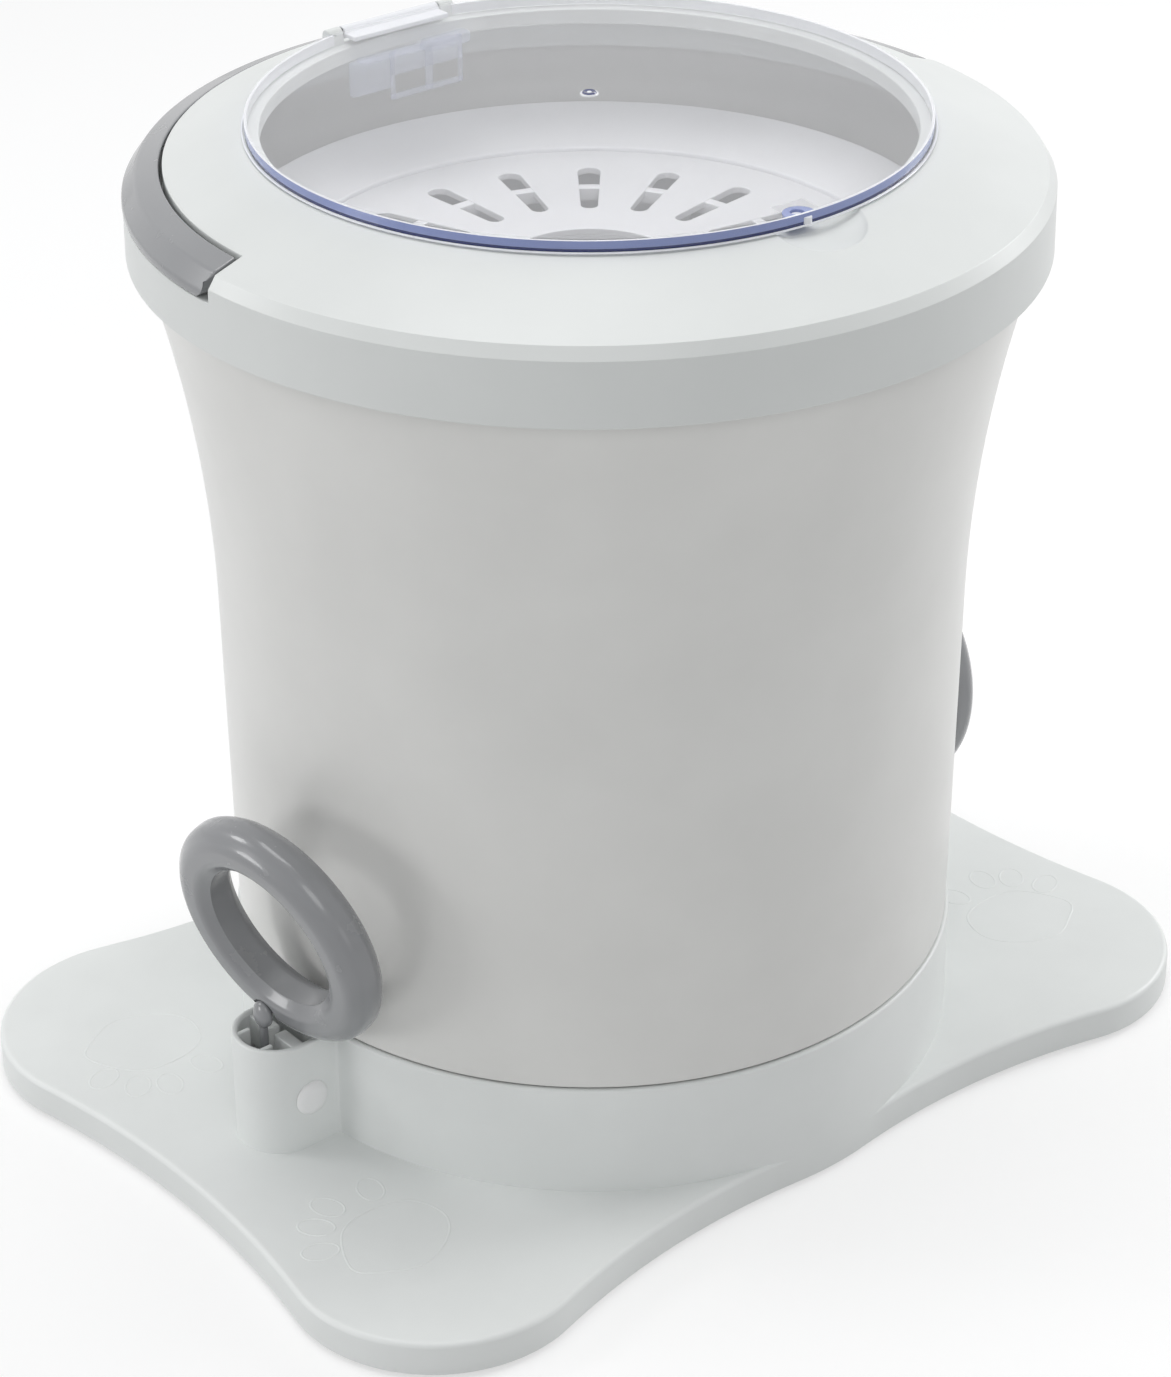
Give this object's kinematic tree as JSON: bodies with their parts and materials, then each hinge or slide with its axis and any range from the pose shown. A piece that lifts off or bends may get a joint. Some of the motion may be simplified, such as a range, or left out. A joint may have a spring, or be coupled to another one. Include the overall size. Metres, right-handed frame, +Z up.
{
  "type": "manual washing machine",
  "caption": "Hand-worked tub washing machine: a lobed base that the feet hold down, pull rings on cords that spin an inner basket, a hinged clear lid and a folding carry handle.",
  "frame": {"origin": "on the floor under the middle of the base plate", "axes": "+X through the right pull ring, along the longer side of the base; +Y towards the clear lid's hinge and the carry handle, which stand turned with the cover by 1.65 degrees; +Z up"},
  "size_m": [0.3916, 0.3114, 0.365],
  "materials": {
    "white_plastic": "smooth moulded, satin gloss",
    "pale_grey_plastic": "smooth moulded, satin gloss",
    "grey_plastic": "moulded, satin",
    "clear_plastic": "clear, faintly blue, polished",
    "steel": "turned",
    "rubber": "matt",
    "cord": "braided"
  },
  "bodies": {
    "base": {"base_plate": "pale_grey_plastic", "bottom_cover": "pale_grey_plastic", "spring_housing": "grey_plastic", "centre_axle": "steel", "return_spring": "steel", "pulley_axle_left": "steel", "pulley_axle_right": "steel", "cord_run_left": "cord", "cord_run_right": "cord", "cord_riser_left": "cord", "cord_riser_right": "cord", "axle_cap_left_back": "white_plastic", "axle_cap_left_front": "white_plastic", "axle_cap_right_back": "white_plastic", "axle_cap_right_front": "white_plastic", "base_screw_1": "steel", "base_screw_2": "steel", "base_screw_3": "steel", "base_screw_4": "steel", "base_screw_5": "steel", "base_screw_6": "steel", "foot_left_back": "rubber", "foot_left_front": "rubber", "foot_right_back": "rubber", "foot_right_front": "rubber"},
    "rope_wheel": {"rope_wheel": "white_plastic", "wound_cord_left": "cord", "wound_cord_right": "cord"},
    "pulley_left": {"pulley_left": "white_plastic"},
    "pulley_right": {"pulley_right": "white_plastic"},
    "lug_left": {"cord_lug_left": "grey_plastic"},
    "lug_right": {"cord_lug_right": "grey_plastic"},
    "ring_left": {"pull_ring_left": "grey_plastic"},
    "ring_right": {"pull_ring_right": "grey_plastic"},
    "tub": {"tub": "pale_grey_plastic", "tub_bush": "white_plastic", "shaft_seal": "rubber", "top_cover": "white_plastic", "handle_pin_left": "steel", "handle_pin_right": "steel", "lid_hinge_pin": "steel"},
    "basket": {"spin_basket": "white_plastic", "funnel_ring": "white_plastic", "spindle": "steel", "drive_cup": "white_plastic", "hub_nut": "white_plastic"},
    "basket_lid": {"basket_lid": "white_plastic"},
    "handle": {"carry_handle": "grey_plastic"},
    "lid": {"clear_lid": "clear_plastic"}
  },
  "joints": [
    {"name": "rope_wheel_spin", "type": "hinge", "parent": "base", "child": "rope_wheel", "pos_m": [0, 0, 0.0263], "axis": [0, 0, 1], "range_deg": [0, 700], "stiffness_Nm_per_rad": 0.05, "springref_deg": -171.89},
    {"name": "tub_lift", "type": "slide", "parent": "base", "child": "tub", "axis": [0, 0, 1], "range_m": [0, 0.06]},
    {"name": "basket_spin", "type": "hinge", "parent": "tub", "child": "basket", "pos_m": [0, 0, 0.06], "axis": [0, 0, 1], "range_deg": [0, 701]},
    {"name": "basket_lid_lift", "type": "slide", "parent": "basket", "child": "basket_lid", "axis": [0, 0, 1], "range_m": [0, 0.038]},
    {"name": "lid_hinge", "type": "hinge", "parent": "tub", "child": "lid", "pos_m": [0.00325, 0.11295, 0.3586], "axis": [-0.9996, 0.0288, 0], "range_deg": [0, 105]},
    {"name": "handle_hinge", "type": "hinge", "parent": "tub", "child": "handle", "pos_m": [0.00012, 0.004, 0.34], "axis": [0.9996, -0.0288, 0], "range_deg": [0, 90]},
    {"name": "pull_left_slide", "type": "slide", "parent": "base", "child": "lug_left", "axis": [-0.1564, 0, 0.9877], "range_m": [0, 0.294], "deforming": ["cord_riser_left"]},
    {"name": "pulley_left_spin", "type": "hinge", "parent": "base", "child": "pulley_left", "pos_m": [-0.1414, 0, 0.0343], "axis": [0, 1, 0], "range_deg": [0, 2101]},
    {"name": "ring_left_tilt", "type": "hinge", "parent": "lug_left", "child": "ring_left", "pos_m": [-0.1494, 0, 0.0647], "axis": [0, -1, 0], "range_deg": [-10, 60]},
    {"name": "pull_right_slide", "type": "slide", "parent": "base", "child": "lug_right", "axis": [0.1564, 0, 0.9877], "range_m": [0, 0.294], "deforming": ["cord_riser_right"]},
    {"name": "pulley_right_spin", "type": "hinge", "parent": "base", "child": "pulley_right", "pos_m": [0.1414, 0, 0.0343], "axis": [0, -1, 0], "range_deg": [0, 2101]},
    {"name": "ring_right_tilt", "type": "hinge", "parent": "lug_right", "child": "ring_right", "pos_m": [0.1494, 0, 0.0647], "axis": [0, 1, 0], "range_deg": [0, 70]}
  ],
  "couplings": [
    {"joint": "basket_spin", "follows": "rope_wheel_spin", "ratio": 1},
    {"joint": "pull_left_slide", "follows": "rope_wheel_spin", "m_per_rad": 0.024},
    {"joint": "pulley_left_spin", "follows": "rope_wheel_spin", "ratio": 3},
    {"joint": "pull_right_slide", "follows": "rope_wheel_spin", "m_per_rad": 0.024},
    {"joint": "pulley_right_spin", "follows": "rope_wheel_spin", "ratio": 3}
  ]
}
